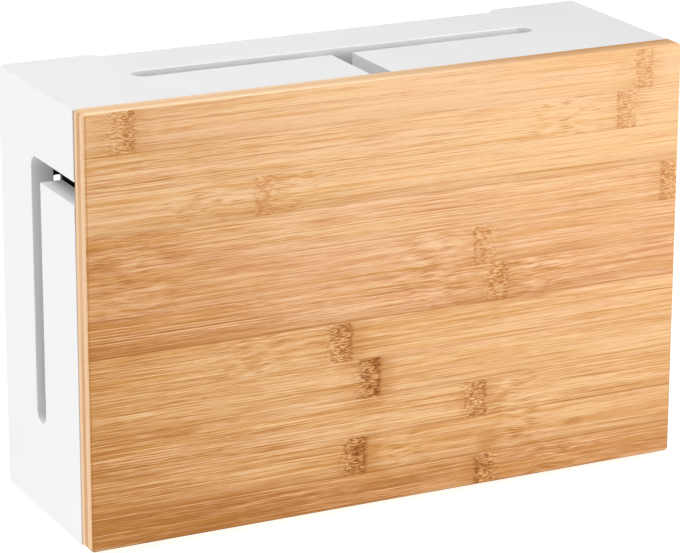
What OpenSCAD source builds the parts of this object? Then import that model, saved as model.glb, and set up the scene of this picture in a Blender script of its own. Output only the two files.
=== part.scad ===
// Cable management box: a white lacquered board box that hides a power strip,
// with long cable slots in its top and sides that are open towards the front,
// and a three-ply bamboo front board held on by four magnets.
//
// Frame: millimetres, +Z up, the front board faces -Y, +X to the right.
// Origin: on the surface the box stands on, under the middle of its outer box.

/* [Box] */
// Outer width of the box and of the front board
box_w = 330; // [320:1:420]
// Depth of the box behind the front board
box_d = 99; // [97:0.1:140]
// Height of the box without its feet
box_h = 222; // [215:1:260]
// Thickness of the top, bottom and side boards
wall_t = 12; // [12:0.5:15]
// Height of the rubber feet
foot_h = 2; // [1:0.5:4]

/* [Front board] */
// Thickness of each of the three plies
ply_t = 3.8; // [3.6:0.1:6]
// Shadow gap between the box and the front board
panel_gap = 1.2; // [0.8:0.1:1.6]
// How far the front board sits above the box's underside
panel_raise = 0.8; // [0:0.1:2]
// Radius of the front board's corners
panel_corner_r = 2.2; // [1:0.2:10]

/* [Top cable slot] */
// Length of the crossbar of the T, end to end
bar_len = 225; // [120:1:240]
// Width of the crossbar
bar_w = 12; // [10:0.2:16]
// Distance of the crossbar's centre line from the box's front edge
bar_y = 51.6; // [40:0.2:60]
// Width of the stem that runs out through the front edge
stem_w = 11.6; // [8:0.2:14]

/* [Side cable slots] */
// Width of the upright run
slot_w = 12; // [10:0.5:15]
// Distance of the upright run's centre line from the box's front edge
slot_y = 50.6; // [40:0.1:60]
// Height of the upright run's lower end above the box's underside
slot_low = 48; // [40:1:90]
// Height of the upright run's upper end above the box's underside
slot_high = 186.5; // [170:0.5:187]
// Height of the level run that goes out through the front edge
branch_h = 11.5; // [8:0.5:14]

/* [Rear notch in the top] */
// Length of the notch at the rear edge
notch_len = 232; // [150:1:250]
// Depth of the notch
notch_d = 5.5; // [3:0.5:6]
// Length of each sloping end
notch_slope = 5.5; // [4:0.5:12]

/* [Back board] */
// Thickness of the back board
back_t = 3; // [3:0.5:4]
// Distance of the back board's rear face from the box's rear edge
back_inset = 10; // [9.5:0.1:14]
// Depth of the groove that holds the back board
groove_d = 5; // [3:0.5:6]
// Distance of each hanging keyhole from the middle
key_x = 139.7; // [60:0.1:139.7]
// Height of the upper end of the keyholes above the box's underside
key_top = 165.3; // [120:0.1:180]
// Width of the narrow part of a keyhole
key_slot_w = 5.5; // [5:0.5:6]
// Radius of the round entry of a keyhole
key_entry_r = 5.5; // [5:0.1:6.5]
// Distance from the upper end of a keyhole down to its entry's centre
key_drop = 15.3; // [13:0.1:18]

/* [Front board catches] */
// Diameter of the magnets in the front rims
magnet_d = 8; // [6:0.5:8]
// Depth of the magnets
magnet_t = 4; // [3:0.5:6]
// Distance of the magnets from the box's underside and from its upper face
magnet_z = 23.5; // [20:0.5:23.5]
// Diameter of the steel strike plates
strike_d = 10; // [9:0.5:11]
// How deep the strike plates are let into the front board
strike_let = 0.4; // [0.2:0.1:0.8]

/* [Hidden] */
$fn = 64;

panel_t = 3 * ply_t;                        // whole front board
total_d = box_d + panel_gap + panel_t;      // depth over everything
y_face = -total_d / 2;                      // front face of the front board
y_rim = y_face + panel_t + panel_gap;       // front rim of the box
y_rear = total_d / 2;                       // rear edge of the box
z0 = foot_h;                                // underside of the box
z1 = z0 + box_h;                            // upper face of the box
y_back1 = y_rear - back_inset;              // rear face of the back board
y_back0 = y_back1 - back_t;                 // front face of the back board
back_play = 0.5;                            // the back board stops short of its groove's bottom
side_x = box_w / 2 - wall_t / 2;            // middle of a side board
inner_x = box_w / 2 - wall_t;               // inner face of a side board

dowel_d = 6;
dowel_in_plate = 8;                         // in the top and bottom boards
dowel_in_end = 12;                          // in the side boards' ends
dowel_air = 1;                              // glue space at each end of a dowel
dowel_fit = 0.03;
dowel_y = [22, 74];                         // from the front rim

strike_t = panel_gap + strike_let;
screw_head_d = 5.4;
screw_shank_d = 3;
screw_len = 8;                              // from the head's face to the tip
screw_head_h = (screw_head_d - screw_shank_d) / 2;   // 90 degree countersink
pilot_d = 2.6;

foot_d = 10;
foot_x = box_w / 2 - 16;
foot_y = [14, 85];                          // from the front rim

magnet_zs = [z0 + magnet_z, z1 - magnet_z];

// ---------- helpers ----------

// Rounded rectangle standing on the XZ plane, from y to y + t
module round_board(w, h, r, t) {
    translate([0, t, 0]) rotate([90, 0, 0]) linear_extrude(height = t)
        union() {
            translate([-w / 2 + r, 0]) square([w - 2 * r, h]);
            translate([-w / 2, r]) square([w, h - 2 * r]);
            for (x = [-w / 2 + r, w / 2 - r], z = [r, h - r])
                translate([x, z]) circle(r = r, $fn = 96);
        }
}

// Cylinder along +Y that starts at y = 0
module along_y(d, l, d2 = -1) {
    rotate([-90, 0, 0]) cylinder(d1 = d, d2 = d2 < 0 ? d : d2, h = l);
}

// T-shaped slot outline in the plane of the top board, front rim at y = 0
module top_slot_2d() {
    r = bar_w / 2;
    for (s = [-1, 1]) translate([s * (bar_len / 2 - r), bar_y]) circle(r = r, $fn = 96);
    translate([-bar_len / 2 + r, bar_y - r]) square([bar_len - 2 * r, bar_w]);
    translate([-stem_w / 2, -1]) square([stem_w, bar_y + 1]);
}

// Shallow notch with sloping ends, rear edge at y = 0
module notch_2d() {
    polygon([[-notch_len / 2 - notch_slope / notch_d, 1], [-notch_len / 2 + notch_slope, -notch_d],
        [notch_len / 2 - notch_slope, -notch_d], [notch_len / 2 + notch_slope / notch_d, 1]]);
}

// Inverted-L slot outline: u from the front rim, v up from the box's underside
module side_slot_2d() {
    r = slot_w / 2;
    translate([slot_y, slot_low + r]) circle(r = r, $fn = 96);
    translate([slot_y - r, slot_low + r]) square([slot_w, slot_high - slot_low - 2 * r]);
    translate([slot_y, slot_high - r]) circle(r = r, $fn = 96);
    translate([slot_y - r, slot_high - 2 * r]) square([r, 2 * r]);
    translate([-1, slot_high - branch_h]) square([slot_y + 1, branch_h]);
}

// Keyhole outline: u = 0 on its centre line, v = 0 at its upper end
module keyhole_2d() {
    r = 2;
    translate([0, -key_drop]) circle(r = key_entry_r, $fn = 96);
    translate([-key_slot_w / 2, -key_drop]) square([key_slot_w, key_drop - r]);
    translate([-key_slot_w / 2 + r, -2 * r]) square([key_slot_w - 2 * r, 2 * r]);
    for (s = [-1, 1]) translate([s * (key_slot_w / 2 - r), -r]) circle(r = r);
}

// Blind bores for the dowels, in the top or bottom board
module plate_dowel_bores(z_face, up) {
    for (s = [-1, 1], y = dowel_y)
        translate([s * side_x, y_rim + y, up > 0 ? z_face - 1 : z_face - dowel_in_plate])
            cylinder(d = dowel_d + 2 * dowel_fit, h = dowel_in_plate + 1);
}

// One dowel with chamfered ends, standing on z = 0
module dowel(l) {
    c = 0.8;
    cylinder(d1 = dowel_d - 2 * c, d2 = dowel_d, h = c);
    translate([0, 0, c]) cylinder(d = dowel_d, h = l - 2 * c);
    translate([0, 0, l - c]) cylinder(d1 = dowel_d, d2 = dowel_d - 2 * c, h = c);
}

// Side board, seen as the left one; the right one is its mirror image
module side_board() {
    color("whitesmoke") difference() {
        translate([-box_w / 2, y_rim, z0 + wall_t])
            cube([wall_t, box_d, box_h - 2 * wall_t]);
        translate([-box_w / 2 - 1, y_rim, z0]) rotate([90, 0, 90])
            linear_extrude(height = wall_t + 2) side_slot_2d();
        // groove for the back board
        translate([-inner_x - groove_d, y_back0, z0])
            cube([groove_d + 1, back_t, box_h]);
        // magnet seats in the front rim
        for (z = magnet_zs) translate([-side_x, y_rim - 1, z])
            along_y(magnet_d + 0.06, magnet_t + 1);
        // dowel bores in both ends
        for (y = dowel_y) {
            translate([-side_x, y_rim + y, z0 + wall_t - 1])
                cylinder(d = dowel_d + 2 * dowel_fit, h = dowel_in_end + 1);
            translate([-side_x, y_rim + y, z1 - wall_t - dowel_in_end])
                cylinder(d = dowel_d + 2 * dowel_fit, h = dowel_in_end + 1);
        }
    }
}

// ---------- box ----------

module top_panel() {
    color("white") difference() {
        translate([-box_w / 2, y_rim, z1 - wall_t]) cube([box_w, box_d, wall_t]);
        translate([0, y_rim, z1 - wall_t - 1]) linear_extrude(height = wall_t + 2) top_slot_2d();
        translate([0, y_rear, z1 - wall_t - 1]) linear_extrude(height = wall_t + 2) notch_2d();
        // stopped groove for the back board
        translate([-inner_x - groove_d, y_back0, z1 - wall_t - 1])
            cube([2 * (inner_x + groove_d), back_t, groove_d + 1]);
        plate_dowel_bores(z1 - wall_t, 1);
    }
}

module bottom_panel() {
    color("white") difference() {
        translate([-box_w / 2, y_rim, z0]) cube([box_w, box_d, wall_t]);
        translate([-inner_x - groove_d, y_back0, z0 + wall_t - groove_d])
            cube([2 * (inner_x + groove_d), back_t, groove_d + 1]);
        for (s = [-1, 1], y = dowel_y)
            translate([s * side_x, y_rim + y, z0 + wall_t - dowel_in_plate])
                cylinder(d = dowel_d + 2 * dowel_fit, h = dowel_in_plate + 1);
    }
}

module left_side_panel() { side_board(); }

module right_side_panel() { mirror([1, 0, 0]) side_board(); }

module back_board() {
    w = 2 * (inner_x + groove_d - back_play);
    h = box_h - 2 * (wall_t - groove_d + back_play);
    color("dimgray") difference() {
        translate([-w / 2, y_back0, z0 + (box_h - h) / 2]) cube([w, back_t, h]);
        for (s = [-1, 1])
            translate([s * key_x, y_back1 + 1, z0 + key_top]) rotate([90, 0, 0])
                linear_extrude(height = back_t + 2) keyhole_2d();
    }
}

module joint_dowels() {
    l = dowel_in_plate + dowel_in_end - 2 * dowel_air;
    color("burlywood") for (s = [-1, 1], y = dowel_y) {
        translate([s * side_x, y_rim + y, z1 - wall_t - dowel_in_end + dowel_air]) dowel(l);
        translate([s * side_x, y_rim + y, z0 + wall_t - dowel_in_plate + dowel_air]) dowel(l);
    }
}

module rim_magnets() {
    c = 0.3;
    color("silver") for (s = [-1, 1], z = magnet_zs) translate([s * side_x, y_rim, z]) {
        along_y(magnet_d - 2 * c, c, magnet_d);
        translate([0, c, 0]) along_y(magnet_d, magnet_t - 2 * c);
        translate([0, magnet_t - c, 0]) along_y(magnet_d, c, magnet_d - 2 * c);
    }
}

module bumper_feet() {
    c = 0.5;
    color("gray") for (x = [-foot_x, foot_x], y = foot_y) translate([x, y_rim + y, 0]) {
        cylinder(d1 = foot_d - 2 * c, d2 = foot_d, h = c);
        translate([0, 0, c]) cylinder(d = foot_d, h = foot_h - c);
    }
}

// ---------- front board ----------

panel_h = box_h;

module front_face_ply() {
    color("sandybrown") translate([0, y_face, z0 + panel_raise])
        round_board(box_w, panel_h, panel_corner_r, ply_t);
}

module front_core_ply() {
    color("peru") difference() {
        translate([0, y_face + ply_t, z0 + panel_raise])
            round_board(box_w, panel_h, panel_corner_r, ply_t);
        for (s = [-1, 1], z = magnet_zs)
            translate([s * side_x, y_rim - screw_len, z]) along_y(pilot_d, screw_len);
    }
}

module front_back_ply() {
    color("burlywood") difference() {
        translate([0, y_face + 2 * ply_t, z0 + panel_raise])
            round_board(box_w, panel_h, panel_corner_r, ply_t);
        for (s = [-1, 1], z = magnet_zs) {
            translate([s * side_x, y_rim - screw_len, z]) along_y(pilot_d, screw_len);
            translate([s * side_x, y_rim - strike_t, z]) along_y(strike_d + 0.1, strike_t);
        }
    }
}

module strike_plates() {
    color("lightsteelblue") for (s = [-1, 1], z = magnet_zs)
        translate([s * side_x, y_rim, z]) difference() {
            translate([0, -strike_t, 0]) along_y(strike_d, strike_t);
            translate([0, -strike_t - 1, 0]) along_y(screw_shank_d + 0.2, strike_t + 2);
            translate([0, -screw_head_h, 0]) along_y(screw_shank_d, screw_head_h, screw_head_d);
        }
}

module strike_plate_screws() {
    tip = 1.6;
    color("silver") for (s = [-1, 1], z = magnet_zs)
        translate([s * side_x, y_rim, z]) difference() {
            union() {
                translate([0, -screw_head_h, 0]) along_y(screw_shank_d, screw_head_h, screw_head_d);
                translate([0, -screw_len + tip, 0]) along_y(screw_shank_d, screw_len - tip - screw_head_h);
                translate([0, -screw_len, 0]) along_y(0.6, tip, screw_shank_d);
            }
            // cross recess
            for (a = [0, 90]) rotate([0, a, 0])
                translate([-1.4, -0.9, -0.3]) cube([2.8, 1.5, 0.6]);
        }
}

top_panel();
bottom_panel();
left_side_panel();
right_side_panel();
back_board();
joint_dowels();
rim_magnets();
bumper_feet();
front_face_ply();
front_core_ply();
front_back_ply();
strike_plates();
strike_plate_screws();
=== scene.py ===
import bpy, bmesh, math
from mathutils import Matrix, Vector


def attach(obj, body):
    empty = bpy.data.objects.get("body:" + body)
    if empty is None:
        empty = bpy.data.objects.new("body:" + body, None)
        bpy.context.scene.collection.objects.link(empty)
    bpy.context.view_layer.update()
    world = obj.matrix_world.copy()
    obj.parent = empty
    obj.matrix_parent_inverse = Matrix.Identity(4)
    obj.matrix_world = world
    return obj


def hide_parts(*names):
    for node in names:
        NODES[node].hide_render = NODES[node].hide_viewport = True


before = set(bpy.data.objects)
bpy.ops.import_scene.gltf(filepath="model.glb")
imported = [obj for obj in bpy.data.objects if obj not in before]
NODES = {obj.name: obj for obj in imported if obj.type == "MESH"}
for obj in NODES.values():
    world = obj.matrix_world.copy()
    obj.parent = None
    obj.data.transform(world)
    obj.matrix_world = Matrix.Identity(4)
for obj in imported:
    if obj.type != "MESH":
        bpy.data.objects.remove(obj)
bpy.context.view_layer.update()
scene = bpy.context.scene
MM = 0.001

# ------------------------------------------------------------------ sizes, mm
BOX_W, BOX_D, BOX_H, WALL, FOOT_H = 330.0, 99.0, 222.0, 12.0, 2.0
PLY, GAP, RAISE, CORNER_R = 3.8, 1.2, 0.8, 2.2
BAR_LEN, BAR_W, BAR_Y, STEM_W = 225.0, 12.0, 51.6, 11.6
SLOT_W, SLOT_Y, SLOT_LOW, SLOT_HIGH, BRANCH_H = 12.0, 50.6, 48.0, 186.5, 11.5
NOTCH_LEN, NOTCH_D, NOTCH_SLOPE = 232.0, 5.5, 5.5
BACK_T, BACK_INSET, GROOVE_D = 3.0, 10.0, 5.0
MAGNET_D, MAGNET_T, MAGNET_Z, STRIKE_D, STRIKE_LET = 8.0, 4.0, 23.5, 10.0, 0.4
DOWEL_D, DOWEL_Y, FOOT_D = 6.0, (22.0, 74.0), 10.0
TOTAL_D = BOX_D + GAP + 3 * PLY
Y_FACE = -TOTAL_D / 2
Y_RIM = Y_FACE + 3 * PLY + GAP
Y_REAR = TOTAL_D / 2
Z0 = FOOT_H
Z1 = Z0 + BOX_H
Y_BACK1 = Y_REAR - BACK_INSET
Y_BACK0 = Y_BACK1 - BACK_T
SIDE_X = BOX_W / 2 - WALL / 2
INNER_X = BOX_W / 2 - WALL
PANEL_Z = Z0 + RAISE
ARRIS = 0.5           # rounding of the lacquered boards' edges
SLOT_ARRIS = 0.5      # and of the slots' edges

# ------------------------------------------------------------------ mesh code


def obj_from(name, verts, faces):
    mesh = bpy.data.meshes.new(name)
    mesh.from_pydata([tuple(c * MM for c in v) for v in verts], [], faces)
    mesh.update()
    bm = bmesh.new()
    bm.from_mesh(mesh)
    bmesh.ops.remove_doubles(bm, verts=bm.verts, dist=2e-7)
    bmesh.ops.dissolve_degenerate(bm, edges=bm.edges, dist=1e-7)
    bmesh.ops.recalc_face_normals(bm, faces=bm.faces)
    bm.to_mesh(mesh)
    bm.free()
    o = bpy.data.objects.new(name, mesh)
    scene.collection.objects.link(o)
    return o


def arc(cx, cy, r, a0, a1, n):
    return [(cx + r * math.cos(math.radians(a0 + (a1 - a0) * i / n)),
             cy + r * math.sin(math.radians(a0 + (a1 - a0) * i / n))) for i in range(n + 1)]


def tidy(points):
    out = []
    for p in points:
        if not out or math.dist(p, out[-1]) > 1e-4:
            out.append(p)
    if math.dist(out[0], out[-1]) < 1e-4:
        out.pop()
    return out


def insets(points, flags):
    """For each corner of a counter-clockwise outline, the way it moves as its rounded edges move in by 1."""
    n = len(points)
    d = []
    for i in range(n):
        a, b = points[i], points[(i + 1) % n]
        l = math.dist(a, b)
        d.append(((b[0] - a[0]) / l, (b[1] - a[1]) / l))
    out = []
    for i in range(n):
        da, db = d[i - 1], d[i]
        na, nb = (-da[1], da[0]), (-db[1], db[0])
        fa, fb = flags[i - 1] > 0, flags[i] > 0
        if fa and fb:
            k = 1 + na[0] * nb[0] + na[1] * nb[1]
            out.append(((na[0] + nb[0]) / k, (na[1] + nb[1]) / k))
        elif fa:
            k = db[0] * na[0] + db[1] * na[1]
            out.append((db[0] / k, db[1] / k) if abs(k) > 0.2 else na)
        elif fb:
            k = da[0] * nb[0] + da[1] * nb[1]
            out.append((da[0] / k, da[1] / k) if abs(k) > 0.2 else nb)
        else:
            out.append((0.0, 0.0))
    return out


def slab(name, points, t, place, top=None, bottom=None, seg=5):
    """A board: an outline of thickness t whose chosen edges are rounded. top and bottom give each edge's radius, or
    0, by a function of the edge's middle point. place turns (a, b, c) into x, y, z in mm."""
    n = len(points)
    mids = [((points[i][0] + points[(i + 1) % n][0]) / 2, (points[i][1] + points[(i + 1) % n][1]) / 2) for i in range(n)]
    ft = [float(top(*m)) if top else 0.0 for m in mids]
    fb = [float(bottom(*m)) if bottom else 0.0 for m in mids]

    def radii(f):
        out = []
        for i in range(n):
            pair = [r for r in (f[i - 1], f[i]) if r > 0]
            out.append(min(pair) if pair else ARRIS)
        return out
    ot, ob = insets(points, ft), insets(points, fb)
    rt, rb = radii(ft), radii(fb)
    rings = []
    if any(fb):
        for k in range(seg + 1):
            a = math.pi / 2 * k / seg
            rings.append([(p[0] + o[0] * r * (1 - math.sin(a)), p[1] + o[1] * r * (1 - math.sin(a)),
                           r * (1 - math.cos(a))) for p, o, r in zip(points, ob, rb)])
    else:
        rings.append([(p[0], p[1], 0.0) for p in points])
    if any(ft):
        for k in range(seg + 1):
            a = math.pi / 2 * k / seg
            rings.append([(p[0] + o[0] * r * (1 - math.cos(a)), p[1] + o[1] * r * (1 - math.cos(a)),
                           t - r + r * math.sin(a)) for p, o, r in zip(points, ot, rt)])
    else:
        rings.append([(p[0], p[1], t) for p in points])
    verts = [place(*v) for ring in rings for v in ring]
    faces = []
    for k in range(len(rings) - 1):
        for i in range(n):
            j = (i + 1) % n
            faces.append((k * n + i, k * n + j, (k + 1) * n + j, (k + 1) * n + i))
    faces.append(tuple(range(n - 1, -1, -1)))
    faces.append(tuple((len(rings) - 1) * n + i for i in range(n)))
    return obj_from(name, verts, faces)


def rings_solid(rings, closed_ends=True):
    """Vertices and faces of a tube through equal rings of points, with its ends closed."""
    n = len(rings[0])
    verts = [v for r in rings for v in r]
    faces = []
    for k in range(len(rings) - 1):
        for i in range(n):
            j = (i + 1) % n
            faces.append((k * n + i, k * n + j, (k + 1) * n + j, (k + 1) * n + i))
    if closed_ends:
        faces.append(tuple(range(n - 1, -1, -1)))
        faces.append(tuple((len(rings) - 1) * n + i for i in range(n)))
    else:
        k = len(rings) - 1
        for i in range(n):
            j = (i + 1) % n
            faces.append((k * n + i, k * n + j, j, i))
    return verts, faces


def join_parts(name, parts):
    verts, faces = [], []
    for v, f in parts:
        k = len(verts)
        verts += v
        faces += [tuple(i + k for i in q) for q in f]
    return obj_from(name, verts, faces)


def lathe(profile, place, n=64, loop=False):
    """profile is (radius, height) pairs; place turns (a, b, height) into x, y, z in mm."""
    rings = [[place(r * math.cos(2 * math.pi * i / n), r * math.sin(2 * math.pi * i / n), h) for i in range(n)]
             for r, h in profile]
    return rings_solid(rings, not loop)


def round_corner(r, h, rc, a0, a1, n=5):
    return [(r + rc * math.cos(math.radians(a0 + (a1 - a0) * i / n)), h + rc * math.sin(math.radians(a0 + (a1 - a0) * i / n)))
            for i in range(n + 1)]


def cutters(parts):
    return join_parts("cutter", parts)


def box_part(x0, y0, z0, x1, y1, z1):
    v = [(x, y, z) for z in (z0, z1) for x, y in ((x0, y0), (x1, y0), (x1, y1), (x0, y1))]
    return v, [(3, 2, 1, 0), (4, 5, 6, 7), (0, 1, 5, 4), (1, 2, 6, 5), (2, 3, 7, 6), (3, 0, 4, 7)]


def bake_modifiers(o):
    bpy.context.view_layer.update()
    mesh = bpy.data.meshes.new_from_object(o.evaluated_get(bpy.context.evaluated_depsgraph_get()))
    o.modifiers.clear()
    old = o.data
    o.data = mesh
    mesh.name = o.name
    bpy.data.meshes.remove(old)


def subtract(o, parts):
    c = cutters(parts)
    m = o.modifiers.new("cut", "BOOLEAN")
    m.operation = "DIFFERENCE"
    m.solver = "EXACT"
    m.object = c
    bake_modifiers(o)
    mesh = c.data
    bpy.data.objects.remove(c)
    bpy.data.meshes.remove(mesh)


def finish_mesh(o, angle=32):
    bm = bmesh.new()
    bm.from_mesh(o.data)
    bmesh.ops.remove_doubles(bm, verts=bm.verts, dist=2e-7)
    bmesh.ops.dissolve_degenerate(bm, edges=bm.edges, dist=1e-7)
    bmesh.ops.recalc_face_normals(bm, faces=bm.faces)
    bm.to_mesh(o.data)
    bm.free()
    o.data.shade_smooth()
    o.data.set_sharp_from_angle(angle=math.radians(angle))
    m = o.modifiers.new("weighted", "WEIGHTED_NORMAL")
    m.keep_sharp = True
    m.weight = 50
    bake_modifiers(o)


# ------------------------------------------------------------------ boards of the box


def top_outline():
    w, s, r = BOX_W / 2, STEM_W / 2, BAR_W / 2
    e = BAR_LEN / 2 - r
    c = ARRIS * 1.03
    half = arc(w - c, c, c, -90, 0, 5) + arc(w - c, BOX_D - c, c, 0, 90, 5)          # right end, counter-clockwise
    notch = [(NOTCH_LEN / 2 + 0.0, BOX_D), (NOTCH_LEN / 2 - NOTCH_SLOPE, BOX_D - NOTCH_D)]
    right = [(s, 0.0)] + half + notch
    left_rear = [(-x, y) for x, y in reversed(notch)] + [(-x, y) for x, y in reversed(half)] + [(-s, 0.0)]
    # slot, from the stem's left mouth in and round to its right mouth
    y0, y1 = BAR_Y - r, BAR_Y + r
    slot = [(-s, y0)] + arc(-e, BAR_Y, r, 270, 90, 24) + arc(e, BAR_Y, r, 90, -90, 24) + [(s, y0)]
    return tidy(right + left_rear + slot)


def in_top_slot(x, y):
    return (abs(x) < BAR_LEN / 2 + 0.5 and abs(y - BAR_Y) < BAR_W / 2 + 0.5) or (abs(x) < STEM_W / 2 + 0.1 and 0 < y < BAR_Y)


o = slab("top_board", top_outline(), WALL, lambda a, b, c: (a, Y_RIM + b, Z1 - WALL + c),
         top=lambda x, y: SLOT_ARRIS if in_top_slot(x, y) else ARRIS, bottom=lambda x, y: SLOT_ARRIS if in_top_slot(x, y) else 0.0)
cuts = [box_part(-INNER_X - GROOVE_D, Y_BACK0, Z1 - WALL - 1, INNER_X + GROOVE_D, Y_BACK1, Z1 - WALL + GROOVE_D)]
for s in (-1, 1):
    for y in DOWEL_Y:
        cuts.append(lathe([(DOWEL_D / 2 + 0.03, -1), (DOWEL_D / 2 + 0.03, 8)],
                          lambda a, b, h, s=s, y=y: (s * SIDE_X + a, Y_RIM + y + b, Z1 - WALL + h), 48))
subtract(o, cuts)
finish_mesh(o)
top_board = o

c = ARRIS * 1.03
base = tidy(arc(BOX_W / 2 - c, c, c, -90, 0, 5) + arc(BOX_W / 2 - c, BOX_D - c, c, 0, 90, 5)
            + arc(-BOX_W / 2 + c, BOX_D - c, c, 90, 180, 5) + arc(-BOX_W / 2 + c, c, c, 180, 270, 5))
o = slab("bottom_board", base, WALL, lambda a, b, c: (a, Y_RIM + b, Z0 + c), bottom=lambda x, y: ARRIS)
cuts = [box_part(-INNER_X - GROOVE_D, Y_BACK0, Z0 + WALL - GROOVE_D, INNER_X + GROOVE_D, Y_BACK1, Z0 + WALL + 1)]
for s in (-1, 1):
    for y in DOWEL_Y:
        cuts.append(lathe([(DOWEL_D / 2 + 0.03, -8), (DOWEL_D / 2 + 0.03, 1)],
                          lambda a, b, h, s=s, y=y: (s * SIDE_X + a, Y_RIM + y + b, Z0 + WALL + h), 48))
subtract(o, cuts)
finish_mesh(o)
bottom_board = o


def side_outline():
    """u from the front rim, v up from the box's underside."""
    r = SLOT_W / 2
    u0, u1 = SLOT_Y - r, SLOT_Y + r
    slot = ([(0, SLOT_HIGH)] + [(1.6, SLOT_HIGH), (SLOT_Y, SLOT_HIGH)] + arc(SLOT_Y, SLOT_HIGH - r, r, 90, 0, 12)
            + arc(SLOT_Y, SLOT_LOW + r, r, 0, -180, 24) + [(u0, SLOT_HIGH - BRANCH_H), (1.6, SLOT_HIGH - BRANCH_H), (0, SLOT_HIGH - BRANCH_H)])
    return tidy([(0, WALL), (BOX_D, WALL), (BOX_D, BOX_H - WALL), (0, BOX_H - WALL)] + slot)


def in_side_slot(u, v):
    return SLOT_ARRIS if WALL + 0.1 < v < BOX_H - WALL - 0.1 and 0.01 < u < BOX_D - 1 else 0.0


def side_edges(u, v):
    return in_side_slot(u, v) or (ARRIS if WALL + 0.1 < v < BOX_H - WALL - 0.1 else 0.0)


side_boards = []
for s, name in ((-1, "left_side_board"), (1, "right_side_board")):
    o = slab(name, side_outline(), WALL, lambda a, b, c, s=s: (s * (INNER_X + c), Y_RIM + a, Z0 + b),
             top=side_edges, bottom=in_side_slot)
    cuts = [box_part(min(s * (INNER_X - 1), s * (INNER_X + GROOVE_D)), Y_BACK0, Z0 + WALL - 2,
                     max(s * (INNER_X - 1), s * (INNER_X + GROOVE_D)), Y_BACK1, Z1 - WALL + 2)]
    for z in (Z0 + MAGNET_Z, Z1 - MAGNET_Z):
        cuts.append(lathe([(MAGNET_D / 2 + 0.03, -1), (MAGNET_D / 2 + 0.03, MAGNET_T)],
                          lambda a, b, h, s=s, z=z: (s * SIDE_X + a, Y_RIM + h, z + b), 64))
    for y in DOWEL_Y:
        for z, h0, h1 in ((Z0 + WALL, -1, 12), (Z1 - WALL, -12, 1)):
            cuts.append(lathe([(DOWEL_D / 2 + 0.03, h0), (DOWEL_D / 2 + 0.03, h1)],
                              lambda a, b, h, s=s, y=y, z=z: (s * SIDE_X + a, Y_RIM + y + b, z + h), 48))
    subtract(o, cuts)
    finish_mesh(o)
    side_boards.append(o)

# ------------------------------------------------------------------ small pieces of the box


def dowel_part(x, y, z):
    """A fluted beech dowel, 18 mm long, with chamfered ends."""
    n, l, ch = 96, 18.0, 0.8
    rings = []
    for h, r in ((0, DOWEL_D / 2 - ch), (0.15, DOWEL_D / 2 - ch + 0.12), (ch, DOWEL_D / 2), (l - ch, DOWEL_D / 2),
                 (l - 0.15, DOWEL_D / 2 - ch + 0.12), (l, DOWEL_D / 2 - ch)):
        ring = []
        for i in range(n):
            flute = 0.16 * (0.5 + 0.5 * math.cos(2 * math.pi * i * 24 / n)) ** 2 if ch <= h <= l - ch else 0.0
            a = 2 * math.pi * i / n
            ring.append((x + (r - flute) * math.cos(a), y + (r - flute) * math.sin(a), z + h))
        rings.append(ring)
    return rings_solid(rings)


parts = []
for s in (-1, 1):
    for y in DOWEL_Y:
        parts.append(dowel_part(s * SIDE_X, Y_RIM + y, Z1 - WALL - 12 + 1))
        parts.append(dowel_part(s * SIDE_X, Y_RIM + y, Z0 + WALL - 8 + 1))
dowels = join_parts("fluted_dowels", parts)
finish_mesh(dowels, 40)

parts = []
for s in (-1, 1):
    for z in (Z0 + MAGNET_Z, Z1 - MAGNET_Z):
        r, t, c = MAGNET_D / 2, MAGNET_T, 0.3
        profile = ([(0.35, 0.0)] + round_corner(r - c, c, c, -90, 0, 4) + round_corner(r - c, t - c, c, 0, 90, 4) + [(0.35, t)])
        parts.append(lathe(profile, lambda a, b, h, s=s, z=z: (s * SIDE_X + a, Y_RIM + h, z + b), 64))
magnets = join_parts("disc_magnets", parts)
finish_mesh(magnets, 40)

parts = []
for x in (-(BOX_W / 2 - 16), BOX_W / 2 - 16):
    for y in (14.0, 85.0):
        r = FOOT_D / 2
        profile = ([(0.6, 0.18), (2.2, 0.14), (3.1, 0.0)] + round_corner(r - 1.1, 1.1, 1.1, -90, 0, 6)
                   + [(r, 1.55), (r - 0.12, 1.75), (r - 0.12, FOOT_H), (0.6, FOOT_H)])
        parts.append(lathe(profile, lambda a, b, h, x=x, y=y: (x + a, Y_RIM + y + b, h), 64))
feet = join_parts("rubber_feet", parts)
finish_mesh(feet, 40)

# ------------------------------------------------------------------ front board


def panel_outline(n=10):
    w, h, r = BOX_W / 2, BOX_H, CORNER_R
    return tidy(arc(w - r, r, r, -90, 0, n) + arc(w - r, h - r, r, 0, 90, n) + arc(-w + r, h - r, r, 90, 180, n)
                + arc(-w + r, r, r, 180, 270, n))


def panel_place(y0, flip=False):
    if flip:
        return lambda a, b, c: (a, y0 - c, PANEL_Z + b)
    return lambda a, b, c: (a, y0 + c, PANEL_Z + b)


catches = [(s * SIDE_X, z) for s in (-1, 1) for z in (Z0 + MAGNET_Z, Z1 - MAGNET_Z)]
STRIKE_T = GAP + STRIKE_LET
SCREW_L, PILOT = 8.0, 2.6


def pilot_cut(x, z):
    return lathe([(PILOT / 2, -SCREW_L), (PILOT / 2, 1)], lambda a, b, h: (x + a, Y_RIM + h, z + b), 40)


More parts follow.
